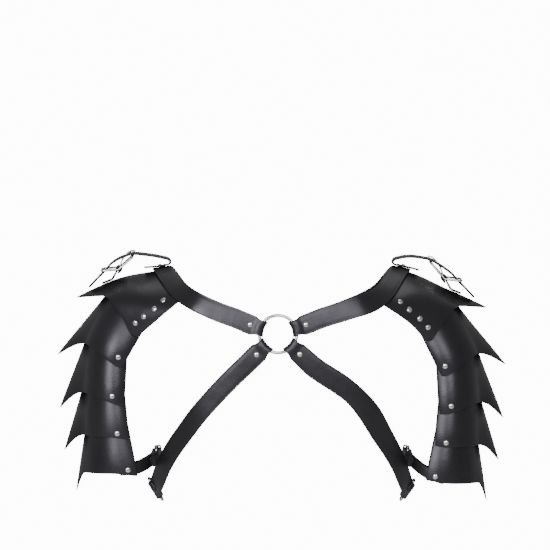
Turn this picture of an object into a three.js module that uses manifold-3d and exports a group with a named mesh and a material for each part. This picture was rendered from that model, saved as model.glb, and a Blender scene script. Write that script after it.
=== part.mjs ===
// A pair of lamed leather pauldrons on a chest harness, as worn.
// Millimetres, +Z up. The front faces -Y and the wearer's left is +X. The origin lies in the front
// ring's middle plane, level with the underside of the shoulder straps' crests.
import * as THREE from "three";
import { mergeVertices } from "three/addons/utils/BufferGeometryUtils.js";
import Module from "manifold-3d";

const wasm = await Module();
wasm.setup();

// Leather and clearances
const LEATHER = 2.4;
const GAP = 0.3;
const LAYER = LEATHER + GAP;

// Where the harness lies on the wearer
const CREST_OUT = 150;
const CHEST_DEPTH = 118;
const RING_DROP = 79;
const SIDE_OUT = 158;
const BACK_SHARE = 0.93;

// Harness leather and hardware
const STRAP_HALF = 12;
const RING_RADIUS = 22.5;
const RING_WIRE = 2;
const RING_FOLD_HALF = 9.4;
const FOLD_CLOSING = 8;
const RING_TAIL = 22;
const SIDE_TAIL = 14;
const SHOULDER_ANGLE = 19;
const SIDE_RING_WIRE = 1.75;
const SIDE_RING_HALF_LENGTH = 15.5;
const SIDE_RING_HALF_PITCH = 7;
const SIDE_RING_CORNER = 3;
const RIVET_RADIUS = 3.5;
const RIVET_HEIGHT = 1.6;

// Lames: how far the guards reach out from the crests, hang down, and bulge to the front
const GUARD_REACH = 132;
const GUARD_DROP = 285;
const SIDE_RING_LIFT = 8;
const SIDE_DROP = GUARD_DROP - SIDE_RING_LIFT;
const GUARD_DEPTH = 70;
const WRAP_DEGREES = 110;
const LAME_TUCK = 1.5;
const HINGE_LAP = 9;
const HINGE_FROM = 0.234;
const HINGE_TUCK = 1.6;
const HINGE_FLAT = 15;
const SPIKE_SHARE = 0.3;
const SPIKE_POWER = 1.6;
const HOOK_POWER = 2.6;
const FLARE_POWER = 1.15;
const LAME_STEPS_AROUND = 9;
const LAME_STEPS_DOWN = 4;

// Adjusting straps on the shoulders, and arm straps
const ARCH_RISE = 16.4;
const ARCH_BANK_DEGREES = 8;
const ADJUSTING_HALF = 9.5;
const ARM_STRAP_HALF = 8;
const BUCKLE_WIRE = 1.5;
const ARM_BUCKLE_WIRE = 1.25;
const CHAPE_HALF = 7;
const PRONG_RADIUS = 1.1;

const LEATHER_BLACK = new THREE.MeshStandardMaterial({
  color: 0x1e1d20,
  roughness: 0.42,
  metalness: 0,
});
const NICKEL = new THREE.MeshStandardMaterial({
  color: 0xc9c9cc,
  roughness: 0.18,
  metalness: 1,
});

const { clamp, degToRad, lerp, smoothstep } = THREE.MathUtils;
const vec = (x, y, z) => new THREE.Vector3(x, y, z);
const BACKWARD = vec(0, 1, 0);

// The two sides don't sit alike: the wearer's left guard is a little further out and hangs lower, the
// shoulder strap there sags in front, and the chest strap bows outward. The back is a little broader
// than the front. Shapes are worked out for the mean of both sides, with X outward, and settle()
// places them.
const LEAN = 4.5;
const HANG = 6.3;
const CHEST_BOW = 14;
const SHOULDER_SAG = 4.5;
const SIDES = [
  { name: "right", sign: -1, out: -LEAN, drop: -HANG, bow: 0, sag: 0, chestAngle: -43.5 },
  { name: "left", sign: 1, out: LEAN, drop: HANG, bow: CHEST_BOW, sag: SHOULDER_SAG, chestAngle: -42.6 },
];
const DROP_RAMP = 0.43 * CREST_OUT;
const BOW_LEVEL = -0.54 * SIDE_DROP;
const BOW_SPAN = 0.17 * SIDE_DROP;
const SAG_OUT = 0.79 * CREST_OUT;
const SAG_SPAN = 0.19 * CREST_OUT;
const BACK_SPREAD = 0.106;
const BACK_FROM = 0.12 * CHEST_DEPTH;
const SPREAD_LEVEL = -0.1 * RING_DROP;
const breadth = (y) => 1 + (BACK_SPREAD * Math.max(0, y - BACK_FROM)) / CHEST_DEPTH;
const bell = (x, middle, span) => Math.exp(-(((x - middle) / span) ** 2));
function settle(side, p) {
  const inside = smoothstep(p.x, 0.2 * CREST_OUT, 0.5 * CREST_OUT);
  const within = inside * (1 - smoothstep(p.x, CREST_OUT, 1.2 * CREST_OUT));
  const bow = side.bow * bell(p.z, BOW_LEVEL, BOW_SPAN) * within;
  const out = p.x + bow + side.out * smoothstep(p.x, 0.2 * CREST_OUT, CREST_OUT);
  const ahead = smoothstep(-p.y, 0.25 * CHEST_DEPTH, 0.7 * CHEST_DEPTH);
  const high = 1 - smoothstep(-p.z, RING_DROP, 1.5 * RING_DROP);
  const sag = side.sag * bell(p.x, SAG_OUT, SAG_SPAN) * ahead * high;
  const up = p.z - sag - side.drop * smoothstep(p.x, CREST_OUT, CREST_OUT + DROP_RAMP);
  const broad = breadth(p.y);
  return vec(side.sign * out * broad, p.y, SPREAD_LEVEL + (up - SPREAD_LEVEL) * broad);
}

const root = new THREE.Group();
const wearerSide = { right: new THREE.Group(), left: new THREE.Group() };
root.add(wearerSide.right, wearerSide.left);
function addMesh(name, geometry, material, parent = root) {
  const mesh = new THREE.Mesh(geometry, material);
  mesh.name = name;
  parent.add(mesh);
  return mesh;
}

// One piece for each side, from the shape for the mean of both sides
function addPair(name, geometry, material) {
  for (const side of SIDES) {
    addMesh(`${name}_${side.name}`, settled(side, geometry), material, wearerSide[side.name]);
  }
}

// A geometry with its faces outward, whichever way round they are given
function faceOut(points, faces) {
  let volume = 0;
  for (let i = 0; i < faces.length; i += 3) {
    const [a, b, c] = [points[faces[i]], points[faces[i + 1]], points[faces[i + 2]]];
    volume += a.dot(b.clone().cross(c));
  }
  const order = volume < 0 ? [0, 2, 1] : [0, 1, 2];
  const turned = faces.map((_, i) => faces[i - (i % 3) + order[i % 3]]);
  const geometry = new THREE.BufferGeometry().setFromPoints(points);
  return geometry.setIndex(new THREE.BufferAttribute(new Uint32Array(turned), 1));
}

// A closed sheet of leather from its sections. Each section lists its outer points and then, in the
// same order, its inner points.
function sheet(sections) {
  const across = sections[0].outer.length;
  const around = 2 * across;
  const points = sections.flatMap(({ outer, inner }) => [...outer, ...[...inner].reverse()]);
  const faces = [];
  for (let i = 0; i + 1 < sections.length; i++) {
    for (let j = 0; j < around; j++) {
      const k = (j + 1) % around;
      const [a, b] = [i * around + j, i * around + k];
      const [c, d] = [a + around, b + around];
      faces.push(a, c, b, b, c, d);
    }
  }
  const last = (sections.length - 1) * around;
  for (let j = 0; j + 1 < across; j++) {
    const m = around - 1 - j;
    faces.push(j, j + 1, m, j + 1, m - 1, m);
    faces.push(last + j, last + m, last + j + 1, last + j + 1, last + m, last + m - 1);
  }
  return faceOut(points, faces);
}
function settled(side, geometry) {
  const position = geometry.attributes.position;
  const points = [];
  for (let i = 0; i < position.count; i++) {
    points.push(settle(side, vec().fromBufferAttribute(position, i)));
  }
  return faceOut(points, [...geometry.index.array]);
}

// A strap along stations. Each station has a point, a normal hint and a half width. A bow, where it
// has one, is how far its edges run ahead of its middle. A side, where it has one, is the way across.
function ribbon(stations) {
  return stations.map((station, i) => {
    const before = stations[Math.max(i - 1, 0)].point;
    const after = stations[Math.min(i + 1, stations.length - 1)].point;
    const along = after.clone().sub(before).normalize();
    const normal = station.normal.clone().addScaledVector(along, -along.dot(station.normal));
    normal.normalize();
    const across = along.clone().cross(normal);
    if (station.side) {
      const way = Math.sign(station.side.dot(across));
      across.copy(station.side).multiplyScalar(way);
      normal.copy(across).cross(along).normalize();
    }
    const columns = station.bow ? [-1, 0, 1] : [-1, 1];
    const at = (column, lift) => {
      const p = station.point.clone().addScaledVector(across, column * station.half);
      if (station.bow) p.addScaledVector(station.bow, column * column);
      return p.addScaledVector(normal, lift);
    };
    return {
      outer: columns.map((column) => at(column, LEATHER / 2)),
      inner: columns.map((column) => at(column, -LEATHER / 2)),
    };
  });
}

// A strap's end folded round a bar: from its free end under the strap, round the bar, and back above
// it. ahead points from the strap to the bar, and normal away from the body.
function fold({ bar, ahead, normal, wire, half, narrow = half, tail, bowed = 0, length = FOLD_CLOSING, side }) {
  const radius = wire + GAP + LEATHER / 2;
  const leg = LAYER / 2;
  const flat = bowed + length;
  const midway = bowed + length * 0.44;
  const at = (u, v, nu, nv, width, bow) => ({
    point: bar.clone().addScaledVector(ahead, u).addScaledVector(normal, v),
    normal: ahead.clone().multiplyScalar(nu).addScaledVector(normal, nv),
    half: width,
    bow: ahead.clone().multiplyScalar(bow),
    side,
  });
  const closing = lerp(leg, radius, 0.5);
  const stations = [
    at(-tail, -leg - GAP, 0, -1, half, 0),
    at(-flat, -leg - GAP / 2, 0, -1, lerp(half, narrow, 0.6), bowed * 0.1),
    at(-midway, -closing, 0, -1, narrow, bowed * 0.5),
    at(-bowed, -radius, 0, -1, narrow, bowed),
  ];
  for (const degrees of [-60, -30, 0, 30, 60]) {
    const angle = degToRad(degrees);
    const [c, s] = [Math.cos(angle), Math.sin(angle)];
    stations.push(at(radius * c, radius * s, c, s, narrow, bowed));
  }
  stations.push(at(-bowed, radius, 0, 1, narrow, bowed));
  stations.push(at(-midway, closing, 0, 1, narrow, bowed * 0.5));
  stations.push(at(-flat, leg, 0, 1, lerp(half, narrow, 0.6), bowed * 0.1));
  return stations;
}

// Smooth points and normals through the rows of a strap's route. toPoint turns a row into a point.
function route(rows, toPoint) {
  const points = new THREE.CatmullRomCurve3(rows.map(toPoint));
  const normals = new THREE.CatmullRomCurve3(rows.map((r) => vec(r.nOut, -r.nFwd, r.nUp)));
  return {
    point: (share) => points.getPoint(share),
    normal: (share) => normals.getPoint(share).normalize(),
    tangent: (share) => points.getTangent(share),
  };
}
function stationsAlong(line, from, to, count, half, bow, lift = () => 0) {
  const stations = [];
  for (let i = 0; i <= count; i++) {
    const share = lerp(from, to, i / count);
    const normal = line.normal(share);
    const point = line.point(share).addScaledVector(normal, lift(share));
    stations.push({ point, normal, half, bow });
  }
  return stations;
}
const STRAIGHT = vec(0, 0, 0);

// Rivet heads: a low dome, set on a surface point with its axis along the normal
const rivetProfile = [
  new THREE.Vector2(0, 0),
  new THREE.Vector2(RIVET_RADIUS, 0),
  new THREE.Vector2(RIVET_RADIUS * 0.8, RIVET_HEIGHT * 0.7),
  new THREE.Vector2(0, RIVET_HEIGHT),
];
function addRivet(name, side, point, normal) {
  const mesh = addMesh(name, new THREE.LatheGeometry(rivetProfile, 8), NICKEL, wearerSide[side.name]);
  const outward = settle(side, point.clone().add(normal)).sub(settle(side, point)).normalize();
  mesh.position.copy(settle(side, point)).addScaledVector(outward, GAP);
  mesh.quaternion.setFromUnitVectors(BACKWARD, outward);
}

// Round rings. The back one is larger, as the back is broader.
const BACK_DEPTH = CHEST_DEPTH * BACK_SHARE;
function addRoundRing(name, depth) {
  const radius = RING_RADIUS * breadth(depth);
  const ring = addMesh(name, new THREE.TorusGeometry(radius, RING_WIRE, 6, 28), NICKEL);
  ring.rotation.x = Math.PI / 2;
  ring.position.set(0, depth, SPREAD_LEVEL - (RING_DROP + SPREAD_LEVEL) * breadth(depth));
}
addRoundRing("ring_front", -CHEST_DEPTH);
addRoundRing("ring_back", BACK_DEPTH);

// A strap's fold round a round ring, whose wire curves across the strap
const RING_BOW = RING_RADIUS - Math.sqrt(RING_RADIUS ** 2 - RING_FOLD_HALF ** 2);
const ringDirection = (degrees) => vec(Math.cos(degToRad(degrees)), 0, Math.sin(degToRad(degrees)));
function ringFold(front, degrees) {
  const away = ringDirection(degrees);
  const bar = vec(0, front ? -CHEST_DEPTH : BACK_DEPTH, -RING_DROP).addScaledVector(away, RING_RADIUS);
  return fold({
    bar,
    ahead: away.negate(),
    normal: vec(0, front ? -1 : 1, 0),
    wire: RING_WIRE,
    half: STRAP_HALF,
    narrow: RING_FOLD_HALF,
    bowed: RING_BOW,
    tail: RING_TAIL,
  });
}

// Shoulder straps: the front half of the route, from beside the ring to the crest. Lengths are shares
// of the crest's distance out, the chest's depth and the ring's drop.
const SHOULDER_ROUTE = [
  { out: 0.353, fwd: 1.002, up: -0.766, nOut: 0, nFwd: 1, nUp: 0.05 },
  { out: 0.487, fwd: 0.985, up: -0.68, nOut: 0.06, nFwd: 1, nUp: 0.1 },
  { out: 0.667, fwd: 0.945, up: -0.535, nOut: 0.12, nFwd: 1, nUp: 0.2 },
  { out: 0.765, fwd: 0.855, up: -0.435, nOut: 0.2, nFwd: 0.95, nUp: 0.3 },
  { out: 0.84, fwd: 0.71, up: -0.325, nOut: 0.3, nFwd: 0.8, nUp: 0.5 },
  { out: 0.902, fwd: 0.49, up: -0.195, nOut: 0.28, nFwd: 0.5, nUp: 0.75 },
  { out: 0.958, fwd: 0.25, up: -0.075, nOut: 0.2, nFwd: 0.2, nUp: 0.95 },
  { out: 1, fwd: 0, up: 0, nOut: 0.17, nFwd: 0, nUp: 0.98 },
];
const shoulderPoint = (r) => vec(r.out * CREST_OUT, -r.fwd * CHEST_DEPTH, r.up * RING_DROP + LEATHER / 2);
const toBack = (row) => ({ ...row, fwd: -row.fwd * BACK_SHARE, nFwd: -row.nFwd });
const shoulderLine = route(
  [...SHOULDER_ROUTE, ...SHOULDER_ROUTE.slice(0, -1).reverse().map(toBack)],
  shoulderPoint,
);
const SHOULDER_STEPS = 20;
const shoulderStations = [
  ...ringFold(true, SHOULDER_ANGLE),
  ...stationsAlong(shoulderLine, 0, 1, SHOULDER_STEPS, STRAP_HALF, STRAIGHT),
  ...ringFold(false, SHOULDER_ANGLE).reverse(),
];
addPair("shoulder_strap", sheet(ribbon(shoulderStations)), LEATHER_BLACK);

// Chest straps and back straps: from beside the round ring to the side ring. Lengths are shares of the
// side ring's distance out, the chest's depth and the side ring's drop.
const CHEST_ROUTE = [
  { out: 0.259, fwd: 1.002, up: -0.426, nOut: 0, nFwd: 1, nUp: 0 },
  { out: 0.364, fwd: 0.979, up: -0.482, nOut: 0.05, nFwd: 1, nUp: 0 },
  { out: 0.497, fwd: 0.932, up: -0.558, nOut: 0.15, nFwd: 1, nUp: 0 },
  { out: 0.63, fwd: 0.86, up: -0.64, nOut: 0.3, nFwd: 0.95, nUp: -0.02 },
  { out: 0.741, fwd: 0.754, up: -0.721, nOut: 0.45, nFwd: 0.88, nUp: -0.06 },
  { out: 0.837, fwd: 0.61, up: -0.796, nOut: 0.6, nFwd: 0.78, nUp: -0.12 },
  { out: 0.913, fwd: 0.449, up: -0.87, nOut: 0.72, nFwd: 0.62, nUp: -0.25 },
  { out: 0.965, fwd: 0.285, up: -0.94, nOut: 0.8, nFwd: 0.35, nUp: -0.42 },
];
const chestPoint = (r) => vec(r.out * SIDE_OUT, -r.fwd * CHEST_DEPTH, r.up * SIDE_DROP);
const SIDE_RING_CENTRE = vec(SIDE_OUT, 0, -SIDE_DROP);
const SIDE_RING_NORMAL = vec(0.83, 0, -0.55).normalize();
const SIDE_RING_BAR = SIDE_RING_NORMAL.clone().cross(BACKWARD);
function sideFold(front) {
  const ahead = vec(0, front ? 1 : -1, 0);
  return fold({
    bar: SIDE_RING_CENTRE.clone().addScaledVector(ahead, -SIDE_RING_HALF_PITCH),
    ahead,
    normal: SIDE_RING_NORMAL,
    wire: SIDE_RING_WIRE,
    half: STRAP_HALF,
    narrow: SIDE_RING_HALF_LENGTH - SIDE_RING_CORNER - 1,
    tail: SIDE_TAIL,
  }).reverse();
}
const CHEST_STEPS = 13;
const CHEST_STRAPS = [
  { name: "chest_strap", front: true, line: route(CHEST_ROUTE, chestPoint) },
  { name: "back_strap", front: false, line: route(CHEST_ROUTE.map(toBack), chestPoint) },
];
for (const side of SIDES) {
  for (const { name, front, line } of CHEST_STRAPS) {
    const stations = [
      ...ringFold(front, side.chestAngle),
      ...stationsAlong(line, 0, 1, CHEST_STEPS, STRAP_HALF, STRAIGHT),
      ...sideFold(front),
    ];
    const geometry = settled(side, sheet(ribbon(stations)));
    addMesh(`${name}_${side.name}`, geometry, LEATHER_BLACK, wearerSide[side.name]);
  }
}

// One rivet holds each fold at the front ring.
const RING_RIVET = 35.5;
for (const side of SIDES) {
  for (const [name, degrees] of [["shoulder", SHOULDER_ANGLE], ["chest", side.chestAngle]]) {
    const depth = -CHEST_DEPTH - LAYER / 2 - LEATHER / 2;
    const point = vec(0, depth, -RING_DROP).addScaledVector(ringDirection(degrees), RING_RIVET);
    addRivet(`rivet_${name}_${side.name}`, side, point, vec(0, -1, 0));
  }
}

// Round wire through points, closed on itself or with flat ends
function wireThrough(points, wire, sides, closed) {
  const count = points.length;
  const vertices = [];
  let across = vec(0.3, 0.9, 0.2);
  points.forEach((point, i) => {
    const before = points[closed ? (i + count - 1) % count : Math.max(i - 1, 0)];
    const after = points[closed ? (i + 1) % count : Math.min(i + 1, count - 1)];
    const along = after.clone().sub(before).normalize();
    across = across.clone().addScaledVector(along, -along.dot(across)).normalize();
    const up = along.clone().cross(across);
    for (let k = 0; k < sides; k++) {
      const angle = (2 * Math.PI * k) / sides;
      const p = point.clone().addScaledVector(across, wire * Math.cos(angle));
      vertices.push(p.addScaledVector(up, wire * Math.sin(angle)));
    }
  });
  const faces = [];
  for (let i = 0; i < (closed ? count : count - 1); i++) {
    const next = (i + 1) % count;
    for (let k = 0; k < sides; k++) {
      const [a, b] = [i * sides + k, i * sides + ((k + 1) % sides)];
      const [c, d] = [next * sides + k, next * sides + ((k + 1) % sides)];
      faces.push(a, b, c, b, d, c);
    }
  }
  if (!closed) {
    const end = (count - 1) * sides;
    for (let k = 1; k + 1 < sides; k++) {
      faces.push(0, k + 1, k, end, end + k, end + k + 1);
    }
  }
  return faceOut(vertices, faces);
}

// Points round a rectangle with round corners, in its own plane
function roundedRectangle(halfLength, halfWidth, corner, stepsPerCorner = 2) {
  const points = [];
  for (let quarter = 0; quarter < 4; quarter++) {
    const a = quarter === 0 || quarter === 3 ? 1 : -1;
    const b = quarter < 2 ? 1 : -1;
    for (let i = 0; i <= stepsPerCorner; i++) {
      const angle = ((quarter + i / stepsPerCorner) * Math.PI) / 2;
      const x = a * (halfLength - corner) + corner * Math.cos(angle);
      points.push([x, b * (halfWidth - corner) + corner * Math.sin(angle)]);
    }
  }
  return points;
}

// Side rings: rectangles under the arms, whose long bars take the chest strap and the back strap
const sideRingOutline = roundedRectangle(SIDE_RING_HALF_LENGTH, SIDE_RING_HALF_PITCH, SIDE_RING_CORNER);
const sideRingPoints = sideRingOutline.map(([x, y]) =>
  SIDE_RING_CENTRE.clone().addScaledVector(SIDE_RING_BAR, x).addScaledVector(BACKWARD, y),
);
addPair("side_ring", wireThrough(sideRingPoints, SIDE_RING_WIRE, 6, true), NICKEL);

// Lames: a row each, from the shoulder down. out is a share of the reach, up of the drop and depth of
// the depth. root is the middle of the lower edge without its spike, corner its front end, and tip
// the spike's end. top and edge are the middle and the front end of the upper edge, which lies
// under the lame above. The first lame's upper edge follows the shoulder strap instead. The larger
// late is, the nearer to its corner a lower edge begins to fall.
const LAMES = [
  {
    rootOut: 0.576, rootUp: 0.137, cornerOut: 0.208, cornerUp: 0.305, depth: 1,
    tipOut: 0.818, tipUp: 0.147, bulge: 0.08, late: 1.6,
  },
  {
    topOut: 0.53, topUp: 0.13, edgeOut: 0.091, edgeUp: 0.22, inset: 0.065,
    rootOut: 0.758, rootUp: 0.346, cornerOut: 0.348, cornerUp: 0.446, depth: 0.943,
    tipOut: 1, tipUp: 0.4, bulge: 0.043, late: 1.3,
  },
  {
    topOut: 0.705, topUp: 0.295, edgeOut: 0.303, edgeUp: 0.358, inset: 0.028,
    rootOut: 0.773, rootUp: 0.56, cornerOut: 0.333, cornerUp: 0.611, depth: 0.893,
    tipOut: 0.977, tipUp: 0.635, bulge: 0.029, late: 1.3,
  },
  {
    topOut: 0.735, topUp: 0.498, edgeOut: 0.333, edgeUp: 0.54, inset: 0.015,
    rootOut: 0.765, rootUp: 0.747, cornerOut: 0.292, cornerUp: 0.751, depth: 0.85,
    tipOut: 0.932, tipUp: 0.821, bulge: 0.029, late: 1.3,
  },
  {
    topOut: 0.72, topUp: 0.684, edgeOut: 0.303, edgeUp: 0.688, inset: 0.008,
    rootOut: 0.758, rootUp: 0.912, cornerOut: 0.212, cornerUp: 0.907, depth: 0.807,
    tipOut: 0.818, tipUp: 1, bulge: 0.029, late: 1.3,
  },
];
const WRAP = degToRad(WRAP_DEGREES);
const guardOut = (share) => CREST_OUT + share * GUARD_REACH;
const guardUp = (share) => -share * GUARD_DROP;

// The first lame's upper edge, under the shoulder strap, and the point that the lame heads for from
// there, in the strap's own plane. t runs from -1 at the back to 1 in front.
function hinge(t) {
  const share = lerp(0.5, HINGE_FROM, t);
  const normal = shoulderLine.normal(share);
  const along = shoulderLine.tangent(share);
  normal.addScaledVector(along, -along.dot(normal)).normalize();
  const across = along.cross(normal);
  const edge = shoulderLine.point(share).addScaledVector(across, STRAP_HALF - HINGE_LAP);
  edge.addScaledVector(normal, -LEATHER / 2 - HINGE_TUCK);
  return { edge, flat: edge.clone().addScaledVector(across, HINGE_FLAT) };
}

// A point of a lame's outer face. s runs from 0 at the upper edge to 1 at the lower edge.
function lamePoint(index, t, s) {
  const lame = LAMES[index];
  const a = Math.abs(t);
  const theta = a * WRAP;
  const round = (1 - Math.cos(theta)) / (1 - Math.cos(WRAP));
  const fall = smoothstep(clamp((a - 0.18) / 0.82, 0, 1) ** lame.late, 0, 1);
  const forward = -Math.sign(t) * Math.sin(theta) * GUARD_DEPTH;
  const lower = vec(
    guardOut(lerp(lame.rootOut, lame.cornerOut, round)),
    lame.depth * forward,
    guardUp(lerp(lame.rootUp, lame.cornerUp, fall)),
  );
  const tuck = (LAYER + LAME_TUCK) / GUARD_DEPTH;
  let p;
  if (index === 0) {
    const { edge, flat } = hinge(t);
    p = edge.lerp(flat, s).lerp(flat.clone().lerp(lower, s), s);
  } else {
    const upper = vec(
      guardOut(lerp(lame.topOut, lame.edgeOut, round)),
      (LAMES[index - 1].depth - tuck - lame.inset) * forward,
      guardUp(lerp(lame.topUp, lame.edgeUp, round)),
    );
    p = upper.lerp(lower, s);
  }
  const peak = Math.max(0, 1 - a / SPIKE_SHARE);
  const flare = s ** FLARE_POWER;
  p.x += peak ** SPIKE_POWER * flare * (lame.tipOut - lame.rootOut) * GUARD_REACH;
  p.z -= peak ** HOOK_POWER * flare * (lame.tipUp - lame.rootUp) * GUARD_DROP;
  const swell = lame.bulge * 6.75 * s * s * (1 - s) * lerp(0.2, 1, Math.sin(theta));
  p.x += swell * GUARD_DEPTH * Math.cos(theta) * 0.7;
  p.y += swell * forward;
  p.z += swell * GUARD_DEPTH * 0.5;
  return p;
}
function lameNormal(index, t, s) {
  const step = 0.01;
  const [above, below] = [Math.max(s - step, 0), Math.min(s + step, 1)];
  const down = lamePoint(index, t, below).sub(lamePoint(index, t, above));
  const round = lamePoint(index, t + step, s).sub(lamePoint(index, t - step, s));
  return round.cross(down).normalize();
}
function lameSections(index) {
  const sections = [];
  for (let i = -LAME_STEPS_AROUND; i <= LAME_STEPS_AROUND; i++) {
    const share = i / LAME_STEPS_AROUND;
    const t = Math.sign(share) * Math.abs(share) ** 1.3;
    const outer = [];
    const inner = [];
    for (let j = 0; j <= LAME_STEPS_DOWN; j++) {
      const s = j / LAME_STEPS_DOWN;
      const p = lamePoint(index, t, s);
      outer.push(p);
      inner.push(p.clone().addScaledVector(lameNormal(index, t, s), -LEATHER));
    }
    sections.push({ outer, inner });
  }
  return sections;
}
LAMES.forEach((_, index) => addPair(`lame_${index + 1}`, sheet(lameSections(index)), LEATHER_BLACK));

// Rivets along the first lame's front edge, and one at the front corner of each other lame
const FIRST_LAME_RIVETS = [
  { t: 0.8, s: 0.42 },
  { t: 0.835, s: 0.62 },
  { t: 0.84, s: 0.79 },
  { t: 0.845, s: 0.91 },
];
const CORNER_RIVETS = [
  { lame: 2, t: 0.88, s: 0.86 },
  { lame: 3, t: 0.82, s: 0.89 },
  { lame: 4, t: 0.85, s: 0.92 },
  { lame: 5, t: 0.9, s: 0.9 },
];
for (const side of SIDES) {
  FIRST_LAME_RIVETS.forEach(({ t, s }, i) => {
    addRivet(`rivet_1${"abcd"[i]}_${side.name}`, side, lamePoint(0, t, s), lameNormal(0, t, s));
  });
  for (const { lame, t, s } of CORNER_RIVETS) {
    addRivet(`rivet_${lame}_${side.name}`, side, lamePoint(lame - 1, t, s), lameNormal(lame - 1, t, s));
  }
}

// Joins and cuts
function solidOf(geometry) {
  const bare = geometry.clone();
  bare.deleteAttribute("normal");
  bare.deleteAttribute("uv");
  const merged = mergeVertices(bare, 1e-4);
  const vertProperties = new Float32Array(merged.attributes.position.array);
  const triVerts = new Uint32Array(merged.index.array);
  return new wasm.Manifold(new wasm.Mesh({ numProp: 3, vertProperties, triVerts }));
}
function geometryOf(solid) {
  const { vertProperties, triVerts } = solid.getMesh();
  const geometry = new THREE.BufferGeometry();
  geometry.setAttribute("position", new THREE.BufferAttribute(vertProperties, 3));
  return geometry.setIndex(new THREE.BufferAttribute(triVerts, 1));
}
const joined = (a, b) => geometryOf(solidOf(a).add(solidOf(b)));
const cut = (a, b) => geometryOf(solidOf(a).subtract(solidOf(b)));

// A centre-bar buckle: two end bars, a centre bar and two bent sides of one wire. side is the way
// along the bars.
function buckleFrame({ near, centre, far, side, halfWidth, wire }) {
  const corner = wire * 2;
  const at = (p, share) => p.clone().addScaledVector(side, share);
  const points = [];
  for (const [end, way] of [[near, 1], [far, -1]]) {
    const reach = end.clone().sub(centre);
    const straight = centre.clone().addScaledVector(reach, 1 - corner / reach.length());
    const turn = straight.clone().lerp(end, 0.7);
    points.push(at(centre, way * halfWidth), at(straight, way * halfWidth));
    points.push(at(turn, way * (halfWidth - corner * 0.3)), at(end, way * (halfWidth - corner)));
    points.push(at(end, -way * (halfWidth - corner)), at(turn, -way * (halfWidth - corner * 0.3)));
    points.push(at(straight, -way * halfWidth));
  }
  const bar = [at(centre, -halfWidth), at(centre, halfWidth)];
  return joined(wireThrough(points, wire, 6, true), wireThrough(bar, wire, 6, false));
}

const EYE_STEPS = 9;
// A prong: an eye round the centre bar and a rod over the near bar
function prong({ centre, side, ahead, wire, radius, rod }) {
  const up = side.clone().cross(ahead).normalize();
  const eyeRadius = wire + GAP + radius;
  const eye = [];
  for (let i = 0; i < EYE_STEPS; i++) {
    const angle = (2 * Math.PI * i) / EYE_STEPS;
    const p = centre.clone().addScaledVector(ahead, eyeRadius * Math.cos(angle));
    eye.push(p.addScaledVector(up, eyeRadius * Math.sin(angle)));
  }
  return joined(wireThrough(eye, radius, 6, true), wireThrough(rod, radius, 6, false));
}

// A chape with a slot for the prong's eye
function slotted({ chape, centre, side, ahead, wire, radius }) {
  const room = 2 * (wire + 3 * GAP + 2 * radius);
  const slot = new THREE.BoxGeometry(room, 2 * (radius + 4 * GAP), room);
  const run = ahead.clone().addScaledVector(side, -side.dot(ahead)).normalize();
  const up = run.clone().cross(side);
  slot.applyMatrix4(new THREE.Matrix4().makeBasis(run, side, up).setPosition(centre));
  return cut(chape, slot);
}

// Adjusting straps: a row per point, from the free end that lies on the shoulder, round the arch, over
// the near bar and down through the far half of the buckle to the tail. out is a share of the
// guard's reach, up of the arch's rise, and wide of the half width.
const ARCH_ROUTE = [
  { out: 0.167, up: 0.006, wide: 1 },
  { out: 0.061, up: 0.152, wide: 1 },
  { out: -0.03, up: 0.28, wide: 1 },
  { out: -0.067, up: 0.36, wide: 1 },
  { out: -0.08, up: 0.524, wide: 1 },
  { out: -0.064, up: 0.732, wide: 1 },
  { out: -0.008, up: 0.872, wide: 1 },
  { out: 0.083, up: 0.988, wide: 1 },
  { out: 0.182, up: 1, wide: 1 },
  { out: 0.28, up: 0.939, wide: 1 },
  { out: 0.348, up: 0.701, wide: 1 },
  { out: 0.424, up: 0.366, wide: 1 },
  { out: 0.489, up: -0.03, wide: 1 },
  { out: 0.538, up: -0.488, wide: 1 },
  { out: 0.598, up: -0.976, wide: 1 },
  { out: 0.695, up: -1.8, wide: 0.55 },
];
const ARCH_BUCKLE = {
  near: { out: 0.28, up: 0.726 },
  centre: { out: 0.409, up: -0.348 },
  far: { out: 0.571, up: -0.463 },
};
const ARCH_ROD = [
  { out: 0.402, up: -0.18 },
  { out: 0.383, up: 0.244 },
  { out: 0.356, up: 0.66 },
  { out: 0.322, up: 0.99 },
  { out: 0.284, up: 1.15 },
  { out: 0.262, up: 1.17 },
];
const archPoint = (r) => vec(guardOut(r.out), 0, r.up * ARCH_RISE);
const FORWARD = BACKWARD.clone().negate();
const archCurve = new THREE.CatmullRomCurve3(ARCH_ROUTE.map(archPoint));
const archStations = [];
const ARCH_STEPS = ARCH_ROUTE.length - 1;

// The arch is banked, so that its upper face looks a little forward. The free end lies flat, and the
// strap twists as it turns back over itself.
const ARCH_TWIST = { from: 2, to: 6 };
const bankedSide = (share) => vec(0, 1, share * Math.tan(degToRad(ARCH_BANK_DEGREES)));
for (let i = 0; i <= ARCH_STEPS; i++) {
  const share = i / ARCH_STEPS;
  const row = ARCH_ROUTE[i];
  archStations.push({
    point: archCurve.getPoint(share),
    normal: FORWARD.clone().cross(archCurve.getTangent(share)),
    half: ADJUSTING_HALF * row.wide,
    side: bankedSide(smoothstep(i, ARCH_TWIST.from, ARCH_TWIST.to)),
  });
}
const archRod = ARCH_ROD.map(archPoint);
const archHole = wireThrough(archRod, PRONG_RADIUS + GAP, 6, false);
addPair("adjusting_strap", cut(sheet(ribbon(archStations)), archHole), LEATHER_BLACK);

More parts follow.
